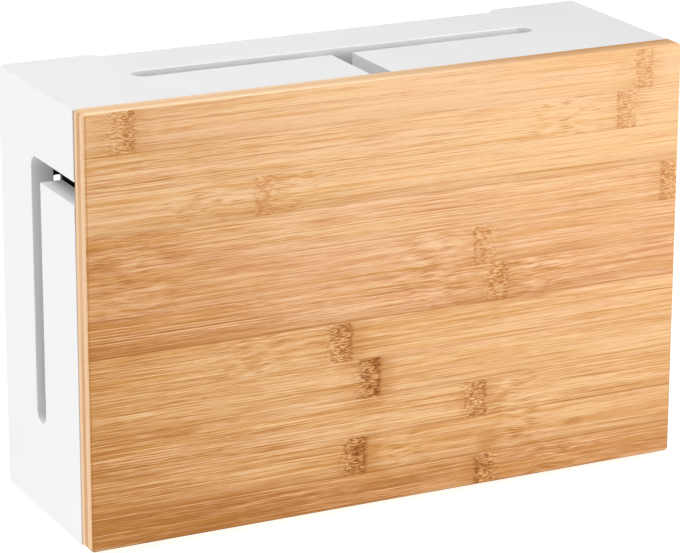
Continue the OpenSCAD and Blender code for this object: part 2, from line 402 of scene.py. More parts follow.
face_ply = slab("face_ply", panel_outline(), PLY, panel_place(Y_FACE + PLY, True), top=lambda x, y: 1.05)
finish_mesh(face_ply)
core_ply = slab("core_ply", panel_outline(), PLY, panel_place(Y_FACE + PLY))
subtract(core_ply, [pilot_cut(x, z) for x, z in catches])
finish_mesh(core_ply)
back_ply = slab("back_ply", panel_outline(), PLY, panel_place(Y_FACE + 2 * PLY), top=lambda x, y: 0.4)
subtract(back_ply, [pilot_cut(x, z) for x, z in catches]
         + [lathe([(STRIKE_D / 2 + 0.05, -STRIKE_T), (STRIKE_D / 2 + 0.05, 1)],
                  lambda a, b, h, x=x, z=z: (x + a, Y_RIM + h, z + b), 64) for x, z in catches])
finish_mesh(back_ply)

parts = []
for x, z in catches:
    r, t = STRIKE_D / 2, STRIKE_T
    profile = (round_corner(r - 0.25, -t + 0.25, 0.25, -90, 0, 4) + round_corner(r - 0.25, -0.25, 0.25, 0, 90, 4)
               + [(2.7, 0.0), (1.62, -1.08), (1.6, -1.2), (1.6, -t)])
    parts.append(lathe(profile, lambda a, b, h, x=x, z=z: (x + a, Y_RIM + h, z + b), 72, loop=True))
strikes = join_parts("steel_strike_plates", parts)
finish_mesh(strikes, 40)


def screw_part(x, z):
    """Countersunk wood screw: head flush with the rim plane, thread to the tip."""
    n, pitch = 48, 1.25
    steps = [(2.66, -0.02), (2.7, -0.06), (2.66, -0.12), (1.56, -1.2), (1.42, -1.35)]
    prof = list(steps)
    h = -1.45
    while h > -8.0 + 1e-6:
        prof.append((None, h))
        h -= pitch / 10
    rings = [[(x + 2.5 * math.cos(2 * math.pi * i / n), Y_RIM - 0.0, z + 2.5 * math.sin(2 * math.pi * i / n)) for i in range(n)]]
    for r0, h in prof:
        ring = []
        for i in range(n):
            a = 2 * math.pi * i / n
            if r0 is None:
                taper = min(1.0, max(0.0, (h + 8.0) / 1.9))
                ph = (a / (2 * math.pi) + h / pitch) % 1.0
                crest = max(0.0, 1 - abs(ph - 0.5) / 0.28)
                r = (1.02 * taper + 0.14) + 0.34 * crest * (0.25 + 0.75 * taper)
            else:
                r = r0
            ring.append((x + r * math.cos(a), Y_RIM + h, z + r * math.sin(a)))
        rings.append(ring)
    return rings_solid(rings)


screws = join_parts("countersunk_screws", [screw_part(x, z) for x, z in catches])
cuts = []
for x, z in catches:
    for turn in (0, 1):
        w0, w1, d = 1.45, 0.75, 1.0
        t0, t1 = 0.34, 0.22
        v = []
        for y, w, t in ((0.5, w0 + 0.35, t0 + 0.06), (-d, w1, t1)):
            q = [(-w, -t), (w, -t), (w, t), (-w, t)]
            if turn:
                q = [(-b, a) for a, b in q]
            v += [(x + a, Y_RIM + y, z + b) for a, b in q]
        cuts.append((v, [(3, 2, 1, 0), (4, 5, 6, 7), (0, 1, 5, 4), (1, 2, 6, 5), (2, 3, 7, 6), (3, 0, 4, 7)]))
subtract(screws, cuts[0::2])
subtract(screws, cuts[1::2])
finish_mesh(screws, 40)

# ------------------------------------------------------------------ node helpers


class Mat:
    def __init__(self, name):
        self.m = bpy.data.materials.new(name)
        self.m.use_nodes = True
        self.t = self.m.node_tree
        self.b = self.t.nodes["Principled BSDF"]
        self.tc = self.t.nodes.new("ShaderNodeTexCoord")
        self._xyz = None

    def put(self, sock, v):
        if v is None:
            return
        if isinstance(v, bpy.types.NodeSocket):
            self.t.links.new(v, sock)
        elif sock.type == "RGBA" and len(v) == 3:
            sock.default_value = (*v, 1)
        else:
            sock.default_value = v

    def xyz(self):
        """Object coordinates in mm."""
        if self._xyz is None:
            s = self.t.nodes.new("ShaderNodeSeparateXYZ")
            v = self.t.nodes.new("ShaderNodeVectorMath")
            v.operation = "SCALE"
            v.inputs["Scale"].default_value = 1000.0
            self.put(v.inputs[0], self.tc.outputs["Object"])
            self.put(s.inputs[0], v.outputs[0])
            self._xyz = tuple(s.outputs)
        return self._xyz

    def normal(self):
        s = self.t.nodes.new("ShaderNodeSeparateXYZ")
        self.put(s.inputs[0], self.tc.outputs["Normal"])
        return tuple(s.outputs)

    def op(self, operation, a, b=None, c=None, clamp=False):
        n = self.t.nodes.new("ShaderNodeMath")
        n.operation = operation
        n.use_clamp = clamp
        for sock, v in zip(n.inputs, (a, b, c)):
            self.put(sock, v)
        return n.outputs[0]

    def vec(self, x, y, z):
        n = self.t.nodes.new("ShaderNodeCombineXYZ")
        for sock, v in zip(n.inputs, (x, y, z)):
            self.put(sock, v)
        return n.outputs[0]

    def noise(self, vec, scale=1.0, detail=2.0, rough=0.5, distortion=0.0, color=False):
        n = self.t.nodes.new("ShaderNodeTexNoise")
        self.put(n.inputs["Vector"], vec)
        n.inputs["Scale"].default_value = scale
        n.inputs["Detail"].default_value = detail
        n.inputs["Roughness"].default_value = rough
        n.inputs["Distortion"].default_value = distortion
        return n.outputs["Color" if color else 0]

    def voronoi(self, vec, scale=1.0, feature="F1", out="Distance", randomness=1.0):
        n = self.t.nodes.new("ShaderNodeTexVoronoi")
        n.feature = feature
        self.put(n.inputs["Vector"], vec)
        n.inputs["Scale"].default_value = scale
        n.inputs["Randomness"].default_value = randomness
        return n.outputs[out]

    def map(self, v, a, b, c=0.0, d=1.0, smooth=False):
        n = self.t.nodes.new("ShaderNodeMapRange")
        n.interpolation_type = "SMOOTHSTEP" if smooth else "LINEAR"
        n.clamp = True
        for key, val in (("Value", v), ("From Min", a), ("From Max", b), ("To Min", c), ("To Max", d)):
            self.put(n.inputs[key], val)
        return n.outputs[0]

    def mix(self, f, a, b, blend="MIX"):
        n = self.t.nodes.new("ShaderNodeMix")
        n.data_type = "RGBA"
        n.blend_type = blend
        n.clamp_factor = True
        self.put(n.inputs[0], f)
        self.put(n.inputs[6], a)
        self.put(n.inputs[7], b)
        return n.outputs[2]

    def ramp(self, f, stops, constant=False):
        n = self.t.nodes.new("ShaderNodeValToRGB")
        r = n.color_ramp
        r.interpolation = "CONSTANT" if constant else "LINEAR"
        while len(r.elements) < len(stops):
            r.elements.new(0.5)
        for e, (p, col) in zip(r.elements, stops):
            e.position = p
        for e, (p, col) in zip(r.elements, stops):
            e.color = (*col, 1) if isinstance(col, tuple) else (col, col, col, 1)
        self.put(n.inputs[0], f)
        return n.outputs[0]

    def bump(self, height, strength=1.0, distance=0.001, normal=None):
        n = self.t.nodes.new("ShaderNodeBump")
        n.inputs["Strength"].default_value = strength
        n.inputs["Distance"].default_value = distance
        self.put(n.inputs["Height"], height)
        if normal is not None:
            self.put(n.inputs["Normal"], normal)
        return n.outputs[0]

    def set(self, **k):
        for name, v in k.items():
            self.put(self.b.inputs[name.replace("_", " ")], v)
        return self


def lin(r, g, b):
    """A colour given in 0-255 sRGB, as the linear values that nodes use."""
    f = lambda c: ((c / 255 + 0.055) / 1.055) ** 2.4 if c > 10 else c / 255 / 12.92
    return (f(r), f(g), f(b))


# ------------------------------------------------------------------ materials


def lacquer():
    m = Mat("satin_white_lacquer")
    x, y, z = m.xyz()
    p = m.vec(x, y, z)
    broad = m.noise(p, 0.02, 3, 0.55)
    peel = m.noise(p, 0.55, 2, 0.5)
    fine = m.noise(p, 3.0, 2, 0.6)
    col = m.mix(m.map(broad, 0.3, 0.7), (0.862, 0.862, 0.864), (0.878, 0.878, 0.879))
    speck = m.map(fine, 0.72, 0.8, 0.0, 0.05)
    col = m.mix(speck, col, (0.7, 0.7, 0.69))
    rough = m.op("ADD", m.map(broad, 0.3, 0.7, 0.36, 0.42), m.map(fine, 0.3, 0.7, -0.015, 0.015))
    h = m.op("ADD", m.op("MULTIPLY", peel, 0.05), m.op("MULTIPLY", fine, 0.012))
    m.set(Base_Color=col, Roughness=rough, Normal=m.bump(h, 0.35, 0.001))
    m.b.inputs["IOR"].default_value = 1.47
    return m.m


N_STRIP, PITCH = 11, 20.5
NONE = 990               # a place in mm that is off the board
MARK = (164, 94, 36)     # the short marks in the paler nodes


def strip_ramp(m, t, values):
    """One value from 0 to 1 for each strip, counted from the panel's upper edge."""
    return m.ramp(t, [(i / N_STRIP, v) for i, v in enumerate(values)], constant=True)


def strip_place(m, t, values):
    """A place in mm for each strip."""
    return m.op("MULTIPLY", strip_ramp(m, t, [v / 1000 for v in values]), 1000.0)


BAMBOO = dict(
    light=lin(209, 171, 127), mid=lin(196, 151, 99), dark=lin(173, 121, 63), deep=lin(153, 98, 38),
    light_p=lin(208, 168, 131), mid_p=lin(195, 146, 103), dark_p=lin(174, 120, 69), deep_p=lin(153, 99, 43),
    orange=lin(189, 132, 69), line=lin(153, 96, 34), pale=lin(214, 178, 131), knot=lin(109, 52, 8))
CARAMEL = dict(
    light=lin(226, 182, 136), mid=lin(215, 167, 121), dark=lin(195, 146, 102), deep=lin(180, 130, 86),
    light_p=lin(225, 181, 140), mid_p=lin(211, 163, 121), dark_p=lin(190, 141, 101), deep_p=lin(176, 127, 86),
    orange=lin(208, 153, 102), line=lin(164, 112, 72), pale=lin(234, 195, 148), knot=lin(136, 88, 52))


def bamboo(name, along, nodes, seed, tones, warms, edge_low, end, long_edge, palette=BAMBOO, more_nodes=None, zones=(),
           lefts=(0.0,) * N_STRIP, bold=(0.5,) * N_STRIP, seams=(0.3,) * N_STRIP, spots=()):
    """Side-glued bamboo strips. along is the axis the fibres follow: X for the outer plies, Z for the core.
    nodes holds for each strip its node's place, how dark it is and which way it faces; zones hold the places where
    each strip's grain runs wavy; lefts, how much darker each strip gets towards its left end, partly the strip's own
    tone and partly painted shade of the light falling off towards the board's lower left; bold, its contrast; seams,
    how dark the joint below it is. Each of spots is a darker or paler patch: its place, its reach both ways and how
    dark it is. Most are stains; the long one on the face's lowest strip is partly painted shade, like lefts."""
    m = Mat(name)
    P = palette
    x, y, z = m.xyz()
    nx, ny, nz = m.normal()
    if along == "X":
        u = m.op("ADD", x, BOX_W / 2)                        # along the fibres, from the left edge
        v = m.op("SUBTRACT", PANEL_Z + BOX_H, z)             # across the strips, down from the upper edge
        n_end = nx
    else:
        u = m.op("SUBTRACT", PANEL_Z + BOX_H, z)
        v = m.op("ADD", x, BOX_W / 2)
        n_end = nz
    span = N_STRIP * PITCH
    if along == "Z":
        v = m.op("MODULO", v, span)
    t = m.op("DIVIDE", v, span, clamp=True)
    index = m.op("FLOOR", m.op("DIVIDE", v, PITCH))
    frac = m.op("FRACT", m.op("DIVIDE", v, PITCH))
    us = m.op("MULTIPLY_ADD", index, 517.0 + seed, u)        # every strip has its own length of cane
    d = m.op("SUBTRACT", y, Y_FACE)

    def field(lu, lv, ld, off, detail=1, rough=0.5, across=None):
        return m.noise(m.vec(m.op("MULTIPLY_ADD", us, 1 / lu, off), m.op("MULTIPLY", across or v, 1 / lv),
                             m.op("MULTIPLY", d, 1 / ld)), 1, detail, rough)

    def centred(f, k):
        return m.op("MULTIPLY", m.op("SUBTRACT", f, 0.5), k)

    # how wavy the grain is: near the nodes, and in a stretch or two of some strips
    rag = centred(m.noise(m.vec(m.op("MULTIPLY", us, 0.22), m.op("MULTIPLY", v, 1.15), seed), 1, 1), 11.0)
    knots = []
    amp = None
    for at, dark, flip in [nodes] + ([more_nodes] if more_nodes else []):
        place_u = strip_place(m, t, at)
        side = m.op("MULTIPLY_ADD", strip_ramp(m, t, flip), -2.0, 1.0)
        du = m.op("MULTIPLY", m.op("SUBTRACT", u, place_u), side)      # grows towards the node's sharp side
        near = m.op("MULTIPLY", m.map(m.op("ABSOLUTE", du), 5.0, 30.0, 1.0, 0.0, smooth=True), 0.42)
        amp = near if amp is None else m.op("MAXIMUM", amp, near)
        knots.append((du, strip_ramp(m, t, dark)))
    for at in zones:
        zu = m.op("ABSOLUTE", m.op("SUBTRACT", u, strip_place(m, t, at)))
        amp = m.op("MAXIMUM", amp, m.map(zu, 3.0, 36.0, 1.0, 0.0, smooth=True))
    w0 = field(95.0, 13.0, 12.0, 2.0 + seed)
    w1 = field(24.0, 9.0, 9.0, 5.0 + seed)
    w2 = field(10.0, 4.5, 7.0, 9.0 + seed)
    warp = m.op("ADD", centred(w0, 1.5), m.op("MULTIPLY", centred(w1, 2.2), m.op("ADD", amp, 0.06)))
    warp = m.op("ADD", warp, m.op("MULTIPLY", centred(w2, 1.1), m.op("ADD", amp, 0.03)))
    vw = m.op("ADD", v, warp)

    broad = field(170.0, 6.0, 9.0, 3.0 + seed, 1, 0.5, vw)
    bands = field(150.0, 1.9, 4.0, 11.0 + seed, 3, 0.55, vw)
    lines_a = field(85.0, 0.72, 2.0, 23.0 + seed, 2, 0.55, vw)
    lines_b = field(30.0, 0.43, 1.4, 31.0 + seed, 1, 0.55, vw)
    fine = field(8.0, 0.27, 0.8, 37.0 + seed, 1, 0.5, vw)
    come_go = field(50.0, 4.0, 8.0, 43.0 + seed, 1, 0.5, vw)
    hue = field(120.0, 7.0, 9.0, 47.0 + seed, 1, 0.5, vw)
    short = field(10.0, 0.62, 2.0, 53.0 + seed, 1, 0.5, vw)
    blotch = field(15.0, 3.4, 4.0, 59.0 + seed, 1, 0.55, vw)

    to_left = m.map(u, 0.0, 120.0, 1.0, 0.0)
    k = m.op("MULTIPLY", strip_ramp(m, t, bold), m.map(u, 0.0, 330.0, 2.35, 1.5))
    calm = m.op("MULTIPLY", m.op("MULTIPLY_ADD", amp, -0.35, 1.0), k)
    tone = m.op("ADD", centred(broad, 0.85), strip_ramp(m, t, tones))
    tone = m.op("ADD", tone, m.op("MULTIPLY", centred(bands, 0.90), k))
    tone = m.op("ADD", tone, m.op("MULTIPLY", m.op("ADD", centred(lines_a, 2.0), centred(lines_b, 2.3)), calm))
    tone = m.op("ADD", tone, m.op("MULTIPLY", m.op("ADD", centred(short, 1.6), centred(blotch, 1.6)), amp))
    tone = m.op("ADD", tone, m.op("MULTIPLY", centred(fine, 1.5), k))
    # partly painted shade: each strip darkens towards its left end by its lefts value, partly its own tone
    tone = m.op("ADD", tone, m.op("MULTIPLY", to_left, strip_ramp(m, t, lefts)))
    for u0, v0, ru, rv, k0 in spots:
        a, b = m.op("MULTIPLY_ADD", u, 1 / ru, -u0 / ru), m.op("MULTIPLY_ADD", vw, 1 / rv, -v0 / rv)
        e = m.op("MULTIPLY_ADD", b, b, m.op("MULTIPLY", a, a))
        e = m.op("ADD", e, m.op("ADD", centred(lines_b, 1.6), centred(blotch, 2.0)))
        tone = m.op("ADD", tone, m.map(e, -0.2, 1.2, k0, 0.0, smooth=True))
    tone = m.op("MULTIPLY", tone, 1 / 1.5)
    yellow = m.ramp(tone, [(0.0, P["light"]), (0.30, P["mid"]), (0.667, P["dark"]), (1.0, P["deep"])])
    pink = m.ramp(tone, [(0.0, P["light_p"]), (0.30, P["mid_p"]), (0.667, P["dark_p"]), (1.0, P["deep_p"])])
    col = m.mix(m.op("ADD", centred(hue, 1.9), strip_ramp(m, t, warms), clamp=True), yellow, pink)
    # orange bands, pale and dark thin fibres
    col = m.mix(m.map(m.op("ADD", bands, centred(hue, -0.7)), 0.54, 0.76, 0.0, 0.5, smooth=True), col, P["orange"])
    pale = m.op("MULTIPLY", m.map(lines_a, 0.44, 0.30, 0.0, 0.5, smooth=True), k)
    col = m.mix(pale, col, P["pale"])
    strong = m.op("MULTIPLY", m.map(come_go, 0.36, 0.60, 0.25, 1.0, smooth=True), calm)
    dark_a = m.op("MULTIPLY", m.map(lines_a, 0.56, 0.70, 0.0, 0.60, smooth=True), strong)
    dark_b = m.op("MULTIPLY", m.map(lines_b, 0.58, 0.74, 0.0, 0.45, smooth=True), strong)
    lines = m.op("MAXIMUM", dark_a, dark_b)
    lines = m.op("MAXIMUM", lines, m.op("MULTIPLY", m.map(short, 0.56, 0.72, 0.0, 0.6, smooth=True), amp), clamp=True)
    col = m.mix(lines, col, P["line"])

    # the nodes: a band of short dashes on a brown ground, cut off on one side and ragged on the other
    curl = centred(m.noise(m.vec(m.op("MULTIPLY", us, 0.20), m.op("MULTIPLY", v, 0.34), d), 1, 1), 1.7)
    dash = m.noise(m.vec(m.op("MULTIPLY", us, 0.34), m.op("MULTIPLY", m.op("ADD", v, curl), 1.35), d), 1, 2, 0.6)
    patch = m.noise(m.vec(m.op("MULTIPLY", us, 0.15), m.op("MULTIPLY", v, 0.19), d), 1, 1, 0.5)
    dots = m.noise(m.vec(m.op("MULTIPLY", us, 0.3), m.op("MULTIPLY", v, 0.8), d), 1, 1, 0.5)
    relief = None
    for du, dark in knots:
        ragged = m.op("ADD", du, rag)
        right = m.op("MULTIPLY_ADD", rag, 0.42, du)
        some = m.map(dark, 0.0, 0.08, 0.0, 1.0)
        band = m.op("MULTIPLY", m.map(ragged, -6.0, -1.5, 0.0, 1.0, smooth=True), m.map(right, 6.4, 5.0, 0.0, 1.0, smooth=True))
        wide = m.op("MULTIPLY", m.map(ragged, -11.0, -3.0, 0.0, 1.0, smooth=True), m.map(right, 8.0, 5.0, 0.0, 1.0, smooth=True))
        band, wide = m.op("MULTIPLY", band, some), m.op("MULTIPLY", wide, some)
        heavy = m.op("MULTIPLY", m.map(m.op("MULTIPLY_ADD", du, 0.018, patch), 0.38, 0.64, 0.10, 1.0, smooth=True), dark)
        shade = m.op("MULTIPLY", m.map(m.op("ABSOLUTE", du), 5.0, 20.0, 0.50, 0.0, smooth=True), m.map(bands, 0.40, 0.62, 0.3, 1.0))
        col = m.mix(m.op("MULTIPLY", shade, dark), col, P["orange"])
        roots = m.op("MULTIPLY", m.map(m.op("ABSOLUTE", m.op("ADD", ragged, 1.0)), 22.0, 6.0, 0.0, 0.6, smooth=True), m.map(lines_a, 0.48, 0.62, 0.0, 1.0, smooth=True))
        col = m.mix(m.op("MULTIPLY", roots, dark), col, P["line"])
        ground = m.op("MULTIPLY", m.map(patch, 0.34, 0.56, 0.25, 1.0), m.map(dark, 0.0, 1.0, 0.12, 0.68))
        col = m.mix(m.op("MULTIPLY", band, ground), col, P["orange"])
        col = m.mix(m.op("MULTIPLY", m.op("MULTIPLY", band, heavy), 0.92), col, P["line"])
        gaps = m.op("MULTIPLY", m.op("MULTIPLY", wide, m.map(dash, 0.50, 0.40, 0.0, 1.0, smooth=True)), m.map(dark, 0.15, 0.5, 0.25, 0.78))
        gap_col = m.mix(m.map(dark, 0.6, 1.0, 0.0, 0.5), P["pale"], P["orange"])
        col = m.mix(m.op("MULTIPLY", gaps, m.op("MULTIPLY_ADD", heavy, -0.80, 1.0)), col, gap_col)
        marks = m.map(m.op("MULTIPLY_ADD", heavy, 0.06, dash), 0.50, 0.59, 0.0, 1.0, smooth=True)
        brown = m.mix(m.map(dark, 0.3, 0.9), lin(*MARK), P["knot"])
        col = m.mix(m.op("MULTIPLY", m.op("MULTIPLY", wide, marks), m.ramp(dark, [(0.0, 0.22), (0.6, 0.66), (1.0, 0.82)])), col, brown)
        ridge = m.op("MULTIPLY", m.map(m.op("ABSOLUTE", m.op("SUBTRACT", right, 5.3)), 0.25, 0.9, 1.0, 0.0), m.map(dots, 0.47, 0.56, 0.0, 0.5))
        col = m.mix(m.op("MULTIPLY", ridge, dark), col, P["knot"])
        beyond = m.op("MULTIPLY", m.map(right, 5.0, 16.0, 0.44, 0.0), m.map(right, 4.6, 5.4, 0.0, 1.0))
        col = m.mix(m.op("MULTIPLY", beyond, m.op("MULTIPLY", dark, dark)), col, P["line"])
        r = m.op("MULTIPLY", band, dash)
        relief = r if relief is None else m.op("MAXIMUM", relief, r)

    # glue line between strips, and the darker edge that some strips have
    to_edge = m.op("MULTIPLY", m.op("SUBTRACT", 0.5, m.op("ABSOLUTE", m.op("SUBTRACT", frac, 0.5))), PITCH)
    low = m.op("MULTIPLY", m.map(frac, 0.55, 1.0, 0.0, 1.0, smooth=True), strip_ramp(m, t, edge_low))
    low = m.op("MULTIPLY", low, m.map(bands, 0.38, 0.60, 0.35, 1.0))
    col = m.mix(low, col, P["line"])
    seam = m.map(to_edge, 0.05, 0.30, 0.18, 0.0)
    col = m.mix(seam, col, P["knot"])
    below = m.map(m.op("MULTIPLY_ADD", frac, -PITCH, PITCH), 0.15, 0.95, 1.0, 0.0, smooth=True)
    below = m.op("MULTIPLY", m.op("MULTIPLY", below, strip_ramp(m, t, seams)), m.map(come_go, 0.38, 0.56, 0.45, 1.0))
    col = m.mix(below, col, P["line"])

    # end grain
    a_end = m.map(m.op("ABSOLUTE", n_end), 0.62, 0.95, 0.0, 1.0, smooth=True)
    pores = m.voronoi(m.vec(m.op("MULTIPLY", v, 1.9), m.op("MULTIPLY", d, 1.9), m.op("MULTIPLY", us, 0.02)))
    dots = m.map(pores, 0.12, 0.34, 1.0, 0.0, smooth=True)
    e_tone = m.noise(m.vec(m.op("MULTIPLY", v, 0.09), m.op("MULTIPLY", d, 0.8), index), 1, 3, 0.6)
    e_col = m.ramp(m.map(e_tone, 0.3, 0.7), [(0.0, end[0]), (1.0, end[1])])
    e_col = m.mix(m.op("MULTIPLY", dots, 0.30), e_col, end[2])
    e_col = m.mix(m.map(to_edge, 0.04, 0.22, 0.4, 0.0), e_col, end[2])
    # the long edges, cut across the strips' sides: paler, and darker towards the right. Their pale colour also reaches
    # over the rounded arris beside the face: partly the sanded edge's own colour, partly a painted highlight along the
    # arris.
    side = m.map(m.op("ABSOLUTE", ny), 0.78, 0.97, 1.0, 0.0, smooth=True)
    streak = m.op("ADD", m.op("MULTIPLY", fine, 0.5), m.op("MULTIPLY", bands, 0.5))
    s_col = m.ramp(m.map(streak, 0.36, 0.64), [(0.0, long_edge[0]), (1.0, long_edge[1])])
    s_col = m.mix(m.map(x, -40.0, 110.0, 0.0, 1.0, smooth=True), s_col, long_edge[2])
    s_col = m.mix(m.op("MULTIPLY", lines, 0.35), s_col, P["line"])
    col = m.mix(side, col, s_col)
    col = m.mix(a_end, col, e_col)
    return m, col, (u, v, d, nx, ny, nz), (fine, lines, relief, seam, side)


def bamboo_finish(m, col, parts, rough=0.42, coat=0.06):
    fine, lines, relief, seam, side = parts
    h = m.op("ADD", m.op("MULTIPLY", fine, 0.018), m.op("MULTIPLY", lines, -0.014))
    h = m.op("ADD", h, m.op("MULTIPLY", relief, -0.03))
    h = m.op("ADD", h, m.op("MULTIPLY", seam, -0.02))
    r = m.op("ADD", m.map(fine, 0.3, 0.7, rough - 0.04, rough + 0.06), m.op("MULTIPLY", side, 0.3))
    m.set(Base_Color=col, Roughness=r, Normal=m.bump(h, 0.8, 0.001))
    m.set(Coat_Weight=m.map(side, 0.0, 1.0, coat, 0.0))
    m.b.inputs["Specular IOR Level"].default_value = 0.12
    m.b.inputs["Coat Roughness"].default_value = 0.42
    m.b.inputs["Coat IOR"].default_value = 1.5
    return m.m


END = (lin(249, 210, 171), lin(242, 199, 157), lin(210, 160, 116))
EDGE = (lin(244, 213, 173), lin(235, 199, 159), lin(225, 177, 128))
EDGE_BACK = (lin(240, 208, 170), lin(231, 195, 157), lin(202, 153, 103))


def face_material():
    m, col, (u, v, d, nx, ny, nz), parts = bamboo(
        "bamboo_face", "X", seed=5.0,
        nodes=([20.7, 298.4, 95.6, 325.6, 216.7, 224.9, 136.0, 152.2, 213.3, 144.4, 218.9],
               [0.50, 0.34, 0.31, 0.42, 0.37, 0.50, 0.76, 1.00, 0.66, 1.00, 0.82],
               [0, 1, 1, 1, 1, 0, 0, 0, 0, 0, 1]),
        more_nodes=([307.3] + [NONE] * 10, [0.31] + [0] * 10, [0] * 11),
        tones=[0.00, 0.13, 0.17, 0.29, 0.40, 0.47, 0.40, 0.31, 0.42, 0.44, 0.85],
        warms=[0.45, 0.35, 0.30, 0.65, 0.80, 0.95, 0.30, 0.25, 0.25, 0.20, 0.85],
        lefts=[0.30, 0.38, 0.10, 0.34, 0.22, 0.72, 0.50, 0.64, 0.65, 0.50, 0.68],
        bold=[0.31, 0.40, 0.37, 0.43, 0.37, 0.54, 0.42, 0.45, 0.56, 0.43, 0.58],
        seams=[0.15, 0.20, 0.55, 0.10, 0.35, 0.70, 0.25, 0.30, 0.50, 0.95, 0.0],
        spots=((235, 197.2, 7, 3.4, 0.40), (221, 198.6, 8, 7.0, 0.48), (271.5, 197.2, 6, 5.0, 0.34), (118, 194.5, 44, 11, 0.24),
               # this long patch darkens the lowest strip's left half: partly its own tone, partly painted shade, as
               # lefts does
               (70, 215, 150, 11, 0.30),
               (4, 78, 14, 8, 0.34), (31, 77.5, 11, 4.2, -0.5), (46, 75.5, 12, 3.6, 0.36), (35, 64.5, 24, 2.8, 0.45),
               (5, 67, 15, 4, 0.34), (22, 85, 16, 3, 0.30), (152, 167, 14, 5, 0.35)),
        zones=([NONE, 262, 112, 20, 28, 190, 88, NONE, 232, 238, 30],
               [NONE, NONE, 60, NONE, 186, 246, NONE, NONE, NONE, 165, 262]),
        end=END, long_edge=EDGE, edge_low=[0.15, 0.0, 0.40, 0.10, 0.12, 0.55, 0.0, 0.12, 0.05, 0.55, 0.0])
    # a dark line painted just inside the left edge, on its rounding
    left_arris_dark_line = m.op("MULTIPLY", m.map(m.op("ABSOLUTE", m.op("SUBTRACT", u, 1.35)), 0.10, 0.55, 0.5, 0.0, smooth=True),
                m.map(m.op("ABSOLUTE", ny), 0.6, 0.9, 0.0, 1.0))
    col = m.mix(left_arris_dark_line, col, BAMBOO["line"])
    # painted shade: the down-facing lower edge, and the right-facing right edge more towards its lower end, are
    # darkened as though in shadow
    bottom_shade_strength = m.map(u, 0.0, 330.0, 0.85, 0.62)
    col = m.mix(m.op("MULTIPLY", m.map(nz, -0.12, -0.45, 0.0, 1.0, smooth=True), bottom_shade_strength), col, lin(96, 58, 24))
    right_shade_strength = m.map(v, 60.0, 222.0, 0.0, 0.75)
    col = m.mix(m.op("MULTIPLY", m.map(nx, 0.12, 0.45, 0.0, 1.0, smooth=True), right_shade_strength), col, lin(112, 78, 44))
    # glue line to the core
    g = m.map(d, PLY - 0.22, PLY - 0.05, 0.0, 0.45)
    col = m.mix(m.op("MULTIPLY", g, m.map(m.op("ABSOLUTE", ny), 0.3, 0.6, 1.0, 0.0)), col, lin(176, 124, 84))
    return bamboo_finish(m, col, parts)


def back_material():
    m, col, (u, v, d, nx, ny, nz), parts = bamboo(
        "bamboo_back", "X", seed=61.0,
        nodes=([250, 60, 180, 300, 110, 28, 210, 150, 76, 270, 190],
               [0.6, 0.5, 0.8, 0.5, 0.7, 0.9, 0.6, 0.5, 0.8, 0.6, 0.7],
               [0, 1, 0, 0, 1, 0, 1, 1, 0, 0, 1]),
        tones=[0.30, 0.40, 0.26, 0.38, 0.50, 0.30, 0.42, 0.24, 0.36, 0.30, 0.46],
        warms=[0.2, 0.7, 0.1, 0.4, 0.9, 0.2, 0.5, 0.1, 0.6, 0.3, 0.8],
        zones=([40, NONE, 90, 140, 230, 290, NONE, 300, 180, 100, 50],),
        end=END, long_edge=EDGE_BACK, edge_low=[0.0, 0.2, 0.1, 0.0, 0.3, 0.1, 0.0, 0.3, 0.0, 0.2, 0.0])
    g = m.map(d, 2 * PLY + 0.22, 2 * PLY + 0.05, 0.0, 0.45)
    col = m.mix(m.op("MULTIPLY", g, m.map(m.op("ABSOLUTE", ny), 0.3, 0.6, 1.0, 0.0)), col, lin(176, 124, 84))
    # painted shade of the narrow gap behind the board: the rear corner of its left edge is darkened near the top and
    # at its lower end
    tone = m.op("MAXIMUM", m.map(v, 44.0, 80.0, 0.85, 0.0, smooth=True), m.map(v, 216.0, 221.0, 0.0, 0.9))
    tone = m.op("MULTIPLY", tone, m.op("MULTIPLY", m.map(d, 3 * PLY - 0.9, 3 * PLY - 0.45, 0.0, 1.0), m.map(nx, -0.1, -0.3, 0.0, 1.0)))
    col = m.mix(tone, col, lin(96, 78, 60))
    return bamboo_finish(m, col, parts)


def core_material():
    m, col, (u, v, d, nx, ny, nz), parts = bamboo(
        "bamboo_core", "Z", seed=113.0, palette=CARAMEL,
        nodes=([120, 40, 200, 90, 160, 60, 130, 20, 180, 100, 70], [0.6] * 11, [0, 1] * 5 + [0]),
        tones=[0.5, 0.4, 0.55, 0.45, 0.6, 0.4, 0.5, 0.55, 0.45, 0.5, 0.6],
        warms=[0.5, 0.2, 0.7, 0.4, 0.8, 0.3, 0.6, 0.5, 0.2, 0.7, 0.4],
        end=(lin(238, 198, 156), lin(226, 182, 138), lin(190, 142, 102)),
        long_edge=(lin(221, 177, 134), lin(208, 160, 118), lin(196, 145, 98)), edge_low=[0.1] * 11)
    # the upper edge darkens towards the right, the left edge is paler in its upper half
    x = m.xyz()[0]
    dim = m.op("MULTIPLY", m.map(x, -40.0, 110.0, 0.0, 0.6, smooth=True), m.map(m.op("ABSOLUTE", nz), 0.6, 0.9, 0.0, 1.0))
    col = m.mix(dim, col, lin(196, 146, 96))
    lift = m.op("MULTIPLY", m.map(m.op("ABSOLUTE", m.op("SUBTRACT", u, 78.0)), 12.0, 55.0, 0.55, 0.0, smooth=True),
                m.map(m.op("ABSOLUTE", nx), 0.6, 0.9, 0.0, 1.0))
    col = m.mix(lift, col, lin(236, 194, 154))
    return bamboo_finish(m, col, parts, coat=0.05)


